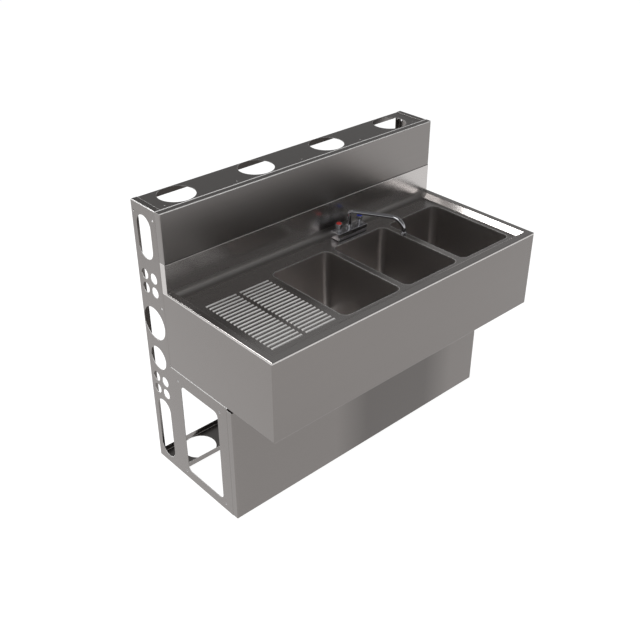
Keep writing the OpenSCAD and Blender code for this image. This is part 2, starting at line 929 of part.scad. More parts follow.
// Round knob with finger flutes, a seat for the index on top and a socket for the stem
module knob(side) {
    color(chrome_colour) at_valve(side) translate([0, 0, knob_z]) difference() {
        rotate_extrude() polygon([
            [0, 0],
            [knob_foot_dia / 2, 0],
            [knob_dia / 2 - knob_edge / 2, knob_h / 2 - knob_edge],
            [knob_dia / 2, knob_h / 2],
            [knob_dia / 2, knob_h - knob_edge],
            [knob_dia / 2 - knob_edge, knob_h],
            [0, knob_h]
        ]);
        for (i = [0:knob_flutes - 1])
            rotate((i + 1 / 2) * 360 / knob_flutes)
                translate([knob_dia / 2 + knob_flute_shift, 0, -over])
                cylinder(d = knob_flute, h = knob_h + 2 * over);
        translate([0, 0, knob_h - index_seat]) cylinder(d = index_dia, h = index_seat + over);
        translate([0, 0, -over]) cylinder(d = stem_dia, h = stem_rise - knob_gap + over);
    }
}

// Coloured index pressed into the top of the knob
module index_cap(side) {
    at_valve(side) translate([0, 0, knob_z + knob_h - index_seat]) intersection() {
        cylinder(d = index_dia, h = index_t);
        translate([0, 0, index_t - index_r]) sphere(index_r);
    }
}

// Nut over the swivel
module spout_nut() {
    color(chrome_colour) placed() at_tap(0) translate([0, 0, tap_top_z]) difference() {
        rotate_extrude() polygon([
            [0, 0],
            [nut_dia / 2, 0],
            [nut_dia / 2, nut_h - 2 * nut_edge],
            [nut_dia / 2 - 2 * nut_edge, nut_h],
            [0, nut_h]
        ]);
        translate([0, 0, -over]) cylinder(d = spout_tube + 2 * run_fit, h = nut_h + 2 * over);
    }
}

module at_spout() {
    placed() at_tap(0) rotate(spout_rest - 90) children();
}

// The spout's run at radius r: up, over, out and down
module spout_run(r, low, end_over) {
    bend_x = spout_reach - spout_bend_r;
    translate([0, 0, low]) cylinder(r = r, h = spout_z - spout_elbow_r - low);
    translate([spout_elbow_r, 0, spout_z - spout_elbow_r]) rotate([90, 0, 0]) rotate(90)
        rotate_extrude(angle = 90) translate([spout_elbow_r, 0]) circle(r);
    translate([spout_elbow_r, 0, spout_z]) rotate([0, 90, 0])
        cylinder(r = r, h = bend_x - spout_elbow_r);
    translate([bend_x, 0, spout_z - spout_bend_r]) rotate([90, 0, 0])
        rotate_extrude(angle = 90) translate([spout_bend_r, 0]) circle(r);
    translate([spout_reach, 0, spout_tip_z - end_over]) cylinder(r = r, h = end_over);
}

spout_low_z = tap_top_z - spout_grip;
spout_tail = aerator_grip - over;

module spout_tube_piece() {
    color(chrome_colour) at_spout() difference() {
        spout_run(spout_tube / 2, spout_low_z, spout_tail);
        spout_run(spout_tube / 2 - spout_wall, spout_low_z - over, spout_tail + over);
    }
}

// Ring under the foot of the spout that seals the swivel
module spout_seal() {
    color(rubber_colour) placed() at_tap(0) translate([0, 0, spout_low_z - seal_h])
        ring(spout_tube, spout_tube - 2 * spout_wall, seal_h);
}

module aerator() {
    top = spout_tip_z;
    color(chrome_colour) at_spout() translate([spout_reach, 0, top - aerator_h]) {
        difference() {
            cylinder(d = aerator_dia, h = aerator_h);
            translate([0, 0, aerator_h - spout_tail]) cylinder(d = spout_tube, h = spout_tail + over);
            translate([0, 0, -over]) cylinder(d = aerator_bore, h = aerator_h);
        }
    }
}

left_end_panel();
right_end_panel();
top_channel();
bottom_channel();
upper_splash_panel();
sink_top();
drainboard_stiffener();
apron();
base_front_panel();
bowl(0);  // left_bowl
bowl(1);  // middle_bowl
bowl(2);  // right_bowl
waste(0);  // left_waste
waste(1);  // middle_waste
waste(2);  // right_waste
waste_gasket(0);  // left_waste_gasket
waste_gasket(1);  // middle_waste_gasket
waste_gasket(2);  // right_waste_gasket
waste_nut(0);  // left_waste_nut
waste_nut(1);  // middle_waste_nut
waste_nut(2);  // right_waste_nut
tailpiece(0);  // left_tailpiece
tailpiece(1);  // middle_tailpiece
tailpiece(2);  // right_tailpiece
tail_nut(0);  // left_tail_nut
tail_nut(1);  // middle_tail_nut
tail_nut(2);  // right_tail_nut
left_cover_inserts();
right_cover_inserts();
front_panel_screws();
tap_gasket();
tap_body();
shank(-1);  // hot_shank
shank(1);  // cold_shank
shank_washer(-1);  // hot_shank_washer
shank_washer(1);  // cold_shank_washer
shank_nut(-1);  // hot_shank_nut
shank_nut(1);  // cold_shank_nut
bonnet(-1);  // hot_bonnet
bonnet(1);  // cold_bonnet
stem(-1);  // hot_stem
stem(1);  // cold_stem
knob(-1);  // hot_handle
knob(1);  // cold_handle
color(hot_colour) index_cap(-1);  // hot_index
color(cold_colour) index_cap(1);  // cold_index
spout_nut();
spout_tube_piece();
spout_seal();
aerator();
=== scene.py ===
"""Looks of a free-standing under-bar sink: brushed stainless sheet and a chrome mixer tap."""

import json
import logging
import math
from collections.abc import Callable
from dataclasses import dataclass, field
from enum import Enum
from functools import cache
from itertools import pairwise

import bpy
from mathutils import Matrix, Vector

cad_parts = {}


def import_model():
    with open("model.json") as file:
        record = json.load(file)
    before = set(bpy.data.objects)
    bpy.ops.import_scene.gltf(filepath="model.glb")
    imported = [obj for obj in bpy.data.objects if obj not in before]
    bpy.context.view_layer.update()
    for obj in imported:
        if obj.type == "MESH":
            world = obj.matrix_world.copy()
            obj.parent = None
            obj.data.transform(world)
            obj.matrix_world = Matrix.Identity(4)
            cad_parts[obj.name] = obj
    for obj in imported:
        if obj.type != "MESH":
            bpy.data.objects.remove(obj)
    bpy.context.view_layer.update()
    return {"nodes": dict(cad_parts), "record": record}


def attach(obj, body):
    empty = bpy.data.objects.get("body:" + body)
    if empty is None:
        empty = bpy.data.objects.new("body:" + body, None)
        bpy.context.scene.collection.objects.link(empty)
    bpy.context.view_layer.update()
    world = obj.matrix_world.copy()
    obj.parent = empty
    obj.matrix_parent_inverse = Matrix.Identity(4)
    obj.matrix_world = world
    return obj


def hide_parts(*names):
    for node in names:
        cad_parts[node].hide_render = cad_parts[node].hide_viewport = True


LOG = logging.getLogger("underbar_sink")
MERGE_WITHIN = 0.00001  # corners nearer than this, in metres, are one
NOISE_SPAN = (0.3, 0.7)  # where most values of a noise lie
DRAIN_SEAT = (-0.038, 0.481)  # Y and Z of each drain, at the floor of its well

Point = tuple[float, float, float]
Colour = tuple[float, float, float]
Corners = tuple[Point, Point]
Ring = tuple[float, float]
Feed = float | tuple[float, ...] | bpy.types.NodeSocket

# Painted light and shade: one stainless steel in four tones, darker on the upright end, front and
# wall sheets and lighter on the deck and in the wells, each set to how bright that sheet looks.
SHADED_STEEL: Colour = (0.204, 0.190, 0.183)
SHADED_WALL_STEEL: Colour = (0.232, 0.219, 0.212)
LIT_DECK_STEEL: Colour = (0.505, 0.484, 0.473)
LIT_BOWL_STEEL: Colour = (0.540, 0.516, 0.504)


class Grain(Enum):
    """Direction that the sheet was brushed in, as how often the noise repeats per metre."""

    ALONG_X = (2.0, 420.0, 420.0)
    ALONG_Z = (420.0, 420.0, 2.0)


class Valve(Enum):
    """Valve of the tap, as the side of the spout that it is on."""

    HOT = -1
    COLD = 1

    @property
    def label(self) -> str:
        """Name that its CAD nodes and its body start with."""
        return self.name.lower()

    @property
    def cap_slot(self) -> str:
        """Material slot of its coloured cap."""
        return "red_plastic" if self is Valve.HOT else "blue_plastic"


class Well(Enum):
    """Well of the sink top, as the X of its middle."""

    LEFT = -0.1355
    MIDDLE = 0.1445
    RIGHT = 0.4245

    @property
    def label(self) -> str:
        """Name that its CAD nodes start with."""
        return self.name.lower()


@dataclass(frozen=True)
class Wiring:
    """Adds nodes to one shader tree and links their sockets.

    Attributes:
        tree: Node tree of a material, a group or the world.
    """

    tree: bpy.types.NodeTree

    def feed(self, node: bpy.types.Node, inputs: dict[str | int, Feed]) -> None:
        """Link a node's inputs to the sockets that feed them, or set their constants.

        Args:
            node: The node.
            inputs: A socket, number, vector or colour for each input, by its name or number.
        """
        for label, value in inputs.items():
            if isinstance(value, bpy.types.NodeSocket):
                self.tree.links.new(value, node.inputs[label])
            else:
                node.inputs[label].default_value = value

    def node(self, kind: str, inputs: dict[str | int, Feed] | None = None,
             **settings: object) -> bpy.types.Node:
        """Add a node.

        Args:
            kind: Type of the node, without its ShaderNode prefix.
            inputs: What feeds its inputs, by name or number.
            settings: Values of its own properties, which decide what inputs it has.

        Returns:
            The node.
        """
        made = self.tree.nodes.new("ShaderNode" + kind)
        for label, value in settings.items():
            setattr(made, label, value)
        self.feed(made, inputs or {})
        return made

    def group(self, tree: bpy.types.NodeTree, inputs: dict[str | int, Feed]) -> bpy.types.Node:
        """Place a shared node group."""
        return self.node("Group", inputs, node_tree=tree)

    def place(self) -> bpy.types.NodeSocket:
        """Object coordinates, on which every pattern lies."""
        return self.node("TexCoord").outputs["Object"]

    def noise(self, place: Feed, scale: float, detail: float = 2.0) -> bpy.types.NodeSocket:
        """Vary a value over a piece."""
        inputs = {"Vector": place, "Scale": scale, "Detail": detail}
        return self.node("TexNoise", inputs).outputs["Fac"]

    def number(self, operation: str, first: Feed, second: Feed) -> bpy.types.NodeSocket:
        """Work out a number from two numbers."""
        return self.node("Math", {0: first, 1: second}, operation=operation).outputs[0]

    def vector(self, operation: str, first: Feed, second: Feed) -> bpy.types.NodeSocket:
        """Work out a vector from two vectors."""
        return self.node("VectorMath", {0: first, 1: second}, operation=operation).outputs[0]

    def mixed(self, share: Feed, first: Feed, second: Feed,
              kind: str = "FLOAT") -> bpy.types.NodeSocket:
        """Mix two numbers or, where the kind is RGBA, two colours."""
        inputs = {"Factor": share, "A": first, "B": second}
        return self.node("Mix", inputs, data_type=kind).outputs["Result"]

    def mapped(self, value: Feed, start: tuple[Feed, Feed],
               goal: tuple[Feed, Feed] = (0.0, 1.0)) -> bpy.types.NodeSocket:
        """Map one range onto another and hold the result at its ends.

        Args:
            value: The value.
            start: Ends of the range that the value lies in.
            goal: What each of these ends becomes.

        Returns:
            The socket with the result.
        """
        ends = {"From Min": start[0], "From Max": start[1], "To Min": goal[0], "To Max": goal[1]}
        return self.node("MapRange", {"Value": value, **ends}).outputs["Result"]

    def spread(self, noise: Feed, low: float, high: float) -> bpy.types.NodeSocket:
        """Spread a noise value over a range."""
        return self.mapped(noise, NOISE_SPAN, (low, high))


class Groups:
    """Shader node groups that several finishes share, each built once."""

    BEVEL_SAMPLES = 8
    FLAT_TO_EDGE = (0.985, 0.86)  # cosine between the flat and the rounded normal
    SIDE_TO_TOP = (0.15, 0.40)  # how far the rounded normal leans up, as its Z
    UPRIGHT_TO_BEND = (0.12, 0.25)  # Z of the flat normal
    LEVEL_TO_BEND = (0.99, 0.95)  # Z of the flat normal

    @staticmethod
    def start(name: str, inputs: dict[str, float | Point],
              outputs: tuple[str, ...]) -> tuple[Wiring, bpy.types.Node, bpy.types.Node]:
        """Make an empty group with its sockets.

        Args:
            name: Name of the group.
            inputs: Names and default values of its inputs; a tuple makes a vector.
            outputs: Names of its outputs, which are numbers.

        Returns:
            The group's wiring, the node with its inputs and the node with its outputs.
        """
        tree = bpy.data.node_groups.new(name, "ShaderNodeTree")
        for label, value in inputs.items():
            kind = "NodeSocketVector" if isinstance(value, tuple) else "NodeSocketFloat"
            socket = tree.interface.new_socket(name=label, in_out="INPUT", socket_type=kind)
            socket.default_value = value
        for label in outputs:
            tree.interface.new_socket(name=label, in_out="OUTPUT", socket_type="NodeSocketFloat")
        source, sink = (tree.nodes.new(kind) for kind in ("NodeGroupInput", "NodeGroupOutput"))
        return Wiring(tree), source, sink

    @staticmethod
    @cache
    def brushing() -> bpy.types.NodeTree:
        """Brushed grain: fine scratches with broader streaks and faint handling marks.

        Returns:
            A group with Vector, Stretch, Streaks and Marks in, and Tone and Height out.
        """
        inputs = {"Vector": (0.0, 0.0, 0.0), "Stretch": (1.0, 1.0, 1.0), "Streaks": 0.3,
                  "Marks": 0.15}
        wiring, source, sink = Groups.start("Brushed_grain", inputs, ("Tone", "Height"))
        given = source.outputs
        stretched = wiring.vector("MULTIPLY", given["Vector"], given["Stretch"])
        fine = wiring.noise(stretched, 1.0, 3.0)
        broad = wiring.noise(stretched, 0.13, 4.0)
        marks = wiring.noise(given["Vector"], 5.0, 3.0)
        streaked = wiring.mixed(given["Streaks"], fine, broad)
        tone = wiring.mixed(given["Marks"], streaked, marks)
        wiring.feed(sink, {"Tone": tone, "Height": fine})
        return wiring.tree

    @staticmethod
    @cache
    def painted_edge_highlight() -> bpy.types.NodeTree:
        """Upper edges and bends of a sheet, where a bright highlight is painted.

        Returns:
            A group with Width in, and Edge and Bend out. Edge is 1 on an upper edge, Bend is 1
            there and on an upper bend, and both are 0 elsewhere.
        """
        wiring, source, sink = Groups.start("Painted_edge_highlight", {"Width": 0.002}, ("Edge", "Bend"))
        radius = {"Radius": source.outputs["Width"]}
        rounded = wiring.node("Bevel", radius, samples=Groups.BEVEL_SAMPLES).outputs["Normal"]
        flat = wiring.node("NewGeometry").outputs["True Normal"]
        both = wiring.node("VectorMath", {0: rounded, 1: flat}, operation="DOT_PRODUCT")
        edge = wiring.mapped(both.outputs["Value"], Groups.FLAT_TO_EDGE)
        lean = wiring.node("SeparateXYZ", {"Vector": rounded}).outputs["Z"]
        upper_edge = wiring.number("MULTIPLY", edge, wiring.mapped(lean, Groups.SIDE_TO_TOP))
        tilt = wiring.node("SeparateXYZ", {"Vector": flat}).outputs["Z"]
        off_upright = wiring.mapped(tilt, Groups.UPRIGHT_TO_BEND)
        off_level = wiring.mapped(tilt, Groups.LEVEL_TO_BEND)
        bend = wiring.number("MULTIPLY", off_upright, off_level)
        either = wiring.number("MAXIMUM", upper_edge, bend)
        wiring.feed(sink, {"Edge": upper_edge, "Bend": either})
        return wiring.tree

    @staticmethod
    @cache
    def box_mask() -> bpy.types.NodeTree:
        """Part of a sheet that lies between two corners, with a soft border.

        Returns:
            A group with Vector, Low, High and Soft in, and Mask out, which is 1 inside and 0
            outside.
        """
        inputs = {"Vector": (0.0, 0.0, 0.0), "Low": (-1.0, -1.0, -1.0), "High": (1.0, 1.0, 1.0),
                  "Soft": 0.001}
        wiring, source, sink = Groups.start("Box_mask", inputs, ("Mask",))
        given = source.outputs
        past_low = wiring.vector("SUBTRACT", given["Vector"], given["Low"])
        short_of_high = wiring.vector("SUBTRACT", given["High"], given["Vector"])
        depth = wiring.vector("MINIMUM", past_low, short_of_high)
        along = wiring.node("SeparateXYZ", {"Vector": depth}).outputs
        least = wiring.number("MINIMUM", along["X"], along["Y"])
        least = wiring.number("MINIMUM", least, along["Z"])
        wiring.feed(sink, {"Mask": wiring.mapped(least, (0.0, given["Soft"]))})
        return wiring.tree


def start_clean() -> None:
    """Leave edit mode and deselect everything, because an operator acts on all that is selected."""
    if bpy.context.object and bpy.context.object.mode != "OBJECT":
        bpy.ops.object.mode_set(mode="OBJECT")
    bpy.ops.object.select_all(action="DESELECT")


def take_up(piece: bpy.types.Object) -> None:
    """Make a piece the only selected and the active one.

    Args:
        piece: The piece.
    """
    start_clean()
    piece.select_set(True)
    bpy.context.view_layer.objects.active = piece


def up(height: float) -> Vector:
    """Offset straight up."""
    return Vector((0, 0, height))


def off_beat(out: Vector, count: int) -> float:
    """Measure how far a direction lies from the nearest of some evenly spaced ones.

    Args:
        out: The direction, seen from above.
        count: Number of evenly spaced directions, of which one is +X.

    Returns:
        The angle between them, as a share of the step from one direction to the next.
    """
    turns = math.atan2(out.y, out.x) / (2 * math.pi) * count
    return abs(turns - round(turns))


def squeeze(piece: bpy.types.Object, wanted: Callable[[Vector], bool], share: Point,
            centre: Vector) -> None:
    """Scale the corners of a piece that pass a test.

    Args:
        piece: The piece.
        wanted: Test of a corner's place.
        share: Scale along X, Y and Z.
        centre: Point that stays where it is.
    """
    take_up(piece)
    bpy.ops.object.mode_set(mode="EDIT")
    bpy.ops.mesh.select_mode(type="VERT")
    bpy.ops.mesh.select_all(action="DESELECT")
    bpy.ops.object.mode_set(mode="OBJECT")
    for corner in piece.data.vertices:
        corner.select = wanted(corner.co)
    bpy.ops.object.mode_set(mode="EDIT")
    bpy.ops.transform.resize(value=share, center_override=centre)
    bpy.ops.object.mode_set(mode="OBJECT")


def apply(piece: bpy.types.Object, kind: str, **settings: object) -> None:
    """Add a modifier and apply it.

    Args:
        piece: The piece to change.
        kind: Type of the modifier.
        settings: Values of the modifier's properties.
    """
    take_up(piece)
    modifier = piece.modifiers.new(kind.title(), kind)
    for label, value in settings.items():
        setattr(modifier, label, value)
    bpy.ops.object.modifier_apply(modifier=modifier.name)


def settle(piece: bpy.types.Object, angle: float = 32.0) -> None:
    """Put a piece's place into its mesh and shade it smooth except at its sharp edges.

    Args:
        piece: The piece.
        angle: Sharpest angle that is still smoothed, in degrees.
    """
    take_up(piece)
    bpy.ops.object.transform_apply(location=True, rotation=True, scale=True)
    bpy.ops.object.shade_smooth_by_angle(angle=math.radians(angle))


def joined(name: str, pieces: list[bpy.types.Object]) -> bpy.types.Object:
    """Join objects into one.

    Args:
        name: Name of the result.
        pieces: The objects, of which the first keeps its place.

    Returns:
        The joined object.
    """
    take_up(pieces[0])
    for piece in pieces:
        piece.select_set(True)
    bpy.ops.object.join()
    pieces[0].name = name
    return pieces[0]


def turned(name: str, foot: Vector, profile: list[Ring], segments: int = 64,
           hollow: bool = False) -> bpy.types.Object:
    """Turn a piece about an upright axis, as on a lathe, by extruding a disc or a hoop.

    Args:
        name: Name of the piece.
        foot: The point on the axis that the profile's heights count from.
        profile: Radius and height of each ring, from one end of the piece to the other, or in
            order around its section where it is hollow.
        segments: Number of sides.
        hollow: Whether the piece is open along its axis.

    Returns:
        The piece, whose surface is closed.
    """
    start_clean()
    r, z = profile[0]
    bpy.ops.mesh.primitive_circle_add(
        vertices=segments, radius=r, fill_type="NOTHING" if hollow else "NGON",
        location=foot + up(z))
    piece = bpy.context.object
    piece.name = name
    bpy.ops.object.mode_set(mode="EDIT")
    bpy.ops.mesh.select_mode(type="EDGE" if hollow else "FACE")
    bpy.ops.mesh.select_all(action="SELECT")
    for (r, z), (next_r, next_z) in pairwise([*profile, profile[0]] if hollow else profile):
        bpy.ops.mesh.extrude_region_move(TRANSFORM_OT_translate={"value": (0, 0, next_z - z)})
        share = next_r / r
        bpy.ops.transform.resize(value=(share, share, 1), center_override=foot + up(next_z))
    bpy.ops.mesh.select_all(action="SELECT")
    if hollow:
        bpy.ops.mesh.remove_doubles(threshold=MERGE_WITHIN)
    bpy.ops.mesh.normals_make_consistent(inside=False)
    bpy.ops.object.mode_set(mode="OBJECT")
    settle(piece)
    return piece


def block(name: str, middle: Vector, size: Vector, edge: float, steps: int = 3) -> bpy.types.Object:
    """Make a block with rounded edges.

    Args:
        name: Name of the piece.
        middle: Middle of the block.
        size: Length, width and height.
        edge: Radius of its edges.
        steps: Number of flats across a rounded edge.

    Returns:
        The block.
    """
    start_clean()
    bpy.ops.mesh.primitive_cube_add(size=1.0, location=middle, scale=size)
    piece = bpy.context.object
    piece.name = name
    bpy.ops.object.transform_apply(location=True, rotation=True, scale=True)
    bpy.ops.object.mode_set(mode="EDIT")
    bpy.ops.mesh.select_all(action="SELECT")
    bpy.ops.mesh.bevel(offset=edge, segments=steps, affect="EDGES")
    bpy.ops.object.mode_set(mode="OBJECT")
    settle(piece)
    return piece


def material(name: str) -> tuple[bpy.types.Material, bpy.types.ShaderNode]:
    """Make a material with a bare Principled shader.

    Args:
        name: Name of the material.

    Returns:
        The material and its shader node.
    """
    made = bpy.data.materials.new(name)
    made.use_nodes = True
    return made, made.node_tree.nodes["Principled BSDF"]


@dataclass(frozen=True)
class BrushedSteel:
    """Satin stainless sheet.

    Attributes:
        name: Name of the material.
        colour: Base colour, linear.
        roughness: Mean roughness.
        roughness_spread: How far the brushing varies the roughness either way.
        grain: Direction of the brushing.
        contrast: How much the brushing varies the tone.
        scratch_depth: Depth of the scratches, in metres.
        scratch_strength: How much of that depth is felt.
        highlight_width: Width of the painted highlight along the edges, in metres.
        highlight_colour: Base colour of the painted highlights, on the edges and in the highlight
            box, linear.
        highlight_bends: Whether the highlight is also painted on the upper bends.
        highlight_box: Corners of a box in which a white highlight is painted, or None.
        highlight_box_soft: Width of the border of that box, in metres.
        highlight_metal: How metallic the painted highlights look, less than 1 as their
            rounding is too fine to show and they scatter light.
        dull_and_shaded: Corners of a box in which shade is painted as a darker base colour and the
            sheet is rougher, or None.
        shade_tone: Share of the base colour that is left there, as painted shade.
        dull_roughness: Roughness there.
        dull_and_shaded_soft: Width of the border of that box, in metres.
    """

    name: str
    colour: Colour
    roughness: float = 0.25
    roughness_spread: float = 0.003
    grain: Grain = Grain.ALONG_X
    contrast: float = 0.018
    scratch_depth: float = 0.0000003
    scratch_strength: float = 0.25
    highlight_width: float = 0.0032
    highlight_colour: Colour = (0.96, 0.95, 0.94)
    highlight_bends: bool = False
    highlight_box: Corners | None = None
    highlight_box_soft: float = 0.001
    highlight_metal: float = 0.3
    dull_and_shaded: Corners | None = None
    shade_tone: float = 0.75
    dull_roughness: float = 0.5
    dull_and_shaded_soft: float = 0.006

    def shade(self, share: float) -> tuple[float, ...]:
        """Base colour times a share, with its alpha."""
        return (*(c * share for c in self.colour), 1)

    @staticmethod
    def inside(wiring: Wiring, place: Feed, box: Corners, soft: float) -> bpy.types.NodeSocket:
        """Mask of the part of the sheet that lies in a box."""
        inputs = {"Vector": place, "Low": box[0], "High": box[1], "Soft": soft}
        return wiring.group(Groups.box_mask(), inputs).outputs["Mask"]

    def painted_highlight(self, wiring: Wiring, place: Feed) -> bpy.types.NodeSocket:
        """Mask of the painted highlights, on the upper edges and bends and in the highlight box.

        Args:
            wiring: The material's wiring.
            place: Object coordinates.

        Returns:
            The socket with the mask.
        """
        highlights = wiring.group(Groups.painted_edge_highlight(), {"Width": self.highlight_width})
        mask = highlights.outputs["Bend" if self.highlight_bends else "Edge"]
        if self.highlight_box:
            area = self.inside(wiring, place, self.highlight_box, self.highlight_box_soft)
            mask = wiring.number("MAXIMUM", mask, area)
        return mask

    def build(self) -> bpy.types.Material:
        """Make the material.

        Returns:
            The material.
        """
        made, shader = material(self.name)
        wiring = Wiring(made.node_tree)
        place = wiring.place()
        given = {"Vector": place, "Stretch": self.grain.value}
        grain = wiring.group(Groups.brushing(), given).outputs
        varied = wiring.spread(grain["Tone"], 0.0, 1.0)
        dark, light = self.shade(1 - self.contrast), self.shade(1 + self.contrast)
        colour = wiring.mixed(varied, dark, light, "RGBA")
        # Painted highlight: a near-white, less metallic colour on the upper edges, on the bends
        # where set, and in the highlight box.
        painted_highlight = self.painted_highlight(wiring, place)
        colour = wiring.mixed(painted_highlight, colour, (*self.highlight_colour, 1), "RGBA")
        metal = wiring.mapped(painted_highlight, (0.0, 1.0), (1.0, self.highlight_metal))
        rough = wiring.spread(grain["Tone"], self.roughness + self.roughness_spread,
                              self.roughness - self.roughness_spread)
        # Painted shade: a darker base colour in the box, where the sheet is rougher as well.
        if self.dull_and_shaded:
            mask = self.inside(wiring, place, self.dull_and_shaded, self.dull_and_shaded_soft)
            colour = wiring.mixed(mask, colour, self.shade(self.shade_tone), "RGBA")
            rough = wiring.mixed(mask, rough, self.dull_roughness)
        scratches = wiring.node("Bump", {
            "Strength": self.scratch_strength, "Distance": self.scratch_depth,
            "Height": grain["Height"]})
        wiring.feed(shader, {
            "Base Color": colour, "Roughness": rough, "Metallic": metal,
            "Normal": scratches.outputs["Normal"]})
        return made


@dataclass(frozen=True)
class Plated:
    """Chrome plate or plain turned metal.

    Attributes:
        name: Name of the material.
        colour: Base colour, linear.
        roughness: Least roughness.
        spread: How much rougher it gets, as from water marks.
        marks: How often the marks repeat per metre.
        marks_detail: How fine they get.
    """

    name: str
    colour: Colour
    roughness: float
    spread: float = 0.03
    marks: float = 90.0
    marks_detail: float = 4.0

    def build(self) -> bpy.types.Material:
        """Make the material.

        Returns:
            The material.
        """
        made, shader = material(self.name)
        wiring = Wiring(made.node_tree)
        marks = wiring.noise(wiring.place(), self.marks, self.marks_detail)
        rough = wiring.spread(marks, self.roughness, self.roughness + self.spread)
        wiring.feed(shader, {"Base Color": (*self.colour, 1), "Metallic": 1.0, "Roughness": rough})
        return made


@dataclass(frozen=True)
class Moulded:
    """Moulded plastic or rubber.

    Attributes:
        name: Name of the material.
        colour: Base colour, linear.
        roughness: Least roughness.
        coat: Weight of a clear gloss on top.
        spread: How much rougher it gets.
        texture: How often its fine texture repeats per metre.
    """

    name: str
    colour: Colour
    roughness: float
    coat: float = 0.0
    spread: float = 0.08
    texture: float = 1500.0

    def build(self) -> bpy.types.Material:
        """Make the material.

        Returns:
            The material.
        """
        made, shader = material(self.name)
        wiring = Wiring(made.node_tree)
        texture = wiring.noise(wiring.place(), self.texture)
        rough = wiring.spread(texture, self.roughness, self.roughness + self.spread)
        wiring.feed(shader, {
            "Base Color": (*self.colour, 1), "Coat Weight": self.coat, "Roughness": rough})
        return made


@dataclass
class Finishes:
    """One material for each slot of the record.

    Attributes:
        steels: Finishes of the sheet pieces.
        plated: Finishes of the turned pieces.
        moulded: Finishes of the seals and caps.
        made: The materials by slot, once they are built.
    """

    steels: tuple[BrushedSteel, ...] = (
        # Painted highlights on the upper edges of every steel, and on the upper bends of the end
        # and wall sheets.
        BrushedSteel("end_steel", SHADED_STEEL, grain=Grain.ALONG_Z, highlight_bends=True),
        # Painted highlight: a white strip along the top front edge of the wall.
        BrushedSteel("wall_steel", SHADED_WALL_STEEL, roughness=0.30, highlight_width=0.0012, highlight_bends=True,
                     highlight_box=((-0.62, 0.1982, 1.0308), (0.62, 0.2045, 1.036))),
        # Painted shade: a soft darker patch in the middle of the base front, below the apron.
        BrushedSteel("front_steel", SHADED_STEEL, dull_and_shaded=((-0.15, -0.28, -0.30), (0.47, 0.50, 0.46)),
                     shade_tone=0.62, dull_roughness=0.27, dull_and_shaded_soft=0.16),
        # Painted highlight: the drainboard's ribs are painted white. Painted shade: the cove
        # between the deck and the splash is darker, and rougher too.
        BrushedSteel("deck_steel", LIT_DECK_STEEL, roughness=0.245,
                     highlight_box=((-0.552, -0.268, 0.7356), (-0.288, 0.066, 0.741)),
                     dull_and_shaded=((-0.60, 0.150, 0.728), (0.60, 0.190, 0.762))),
        BrushedSteel("bowl_steel", LIT_BOWL_STEEL, roughness=0.36),
    )
    plated: tuple[Plated, ...] = (
        Plated("chrome", (0.44, 0.44, 0.46), 0.03, 0.02),
        Plated("brass", (0.72, 0.52, 0.24), 0.25),
    )
    moulded: tuple[Moulded, ...] = (
        Moulded("rubber", (0.02, 0.02, 0.02), 0.65),
        Moulded("red_plastic", (0.82, 0.03, 0.02), 0.25, 0.6),
        Moulded("blue_plastic", (0.02, 0.04, 0.62), 0.25, 0.6),
    )
    made: dict[str, bpy.types.Material] = field(default_factory=dict)

    def build(self) -> None:
        """Make every material."""
        for finish in (*self.steels, *self.plated, *self.moulded):
            self.made[finish.name] = finish.build()
            LOG.info("finish %s", finish.name)

    def dress(self, piece: bpy.types.Object, slot: str) -> None:
        """Give a piece the finish of a slot.

        Args:
            piece: The piece, a CAD node or a new one.
            slot: The slot's name.
        """
        if not piece.material_slots:
            piece.data.materials.append(self.made[slot])
        for place in piece.material_slots:
            place.material = self.made[slot]

    def fit(self, piece: bpy.types.Object, body: str, slot: str, *nodes: str) -> None:
        """Dress a finished piece and let it ride and stand for its CAD nodes.

        Args:
            piece: The piece.
            body: Body that it moves with.
            slot: Material slot of the record.
            nodes: CAD nodes that it stands for.
        """
        self.dress(piece, slot)
        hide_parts(*nodes)
        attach(piece, body)
        LOG.info("piece %s stands for %s", piece.name, ", ".join(nodes))


@dataclass
class SheetMetal:
    """The sheet-metal pieces, which keep their CAD shape.

    Attributes:
        slots: Material slot of each CAD node.
    """

    slots: dict[str, str]

    def dress(self, nodes: dict[str, bpy.types.Object], finishes: Finishes) -> None:
        """Dress each CAD node in the finish of its own slot.

        Args:
            nodes: CAD nodes by name.
            finishes: The finishes.
        """
        for name, slot in self.slots.items():
            finishes.dress(nodes[name], slot)
            LOG.info("piece %s in %s", name, slot)


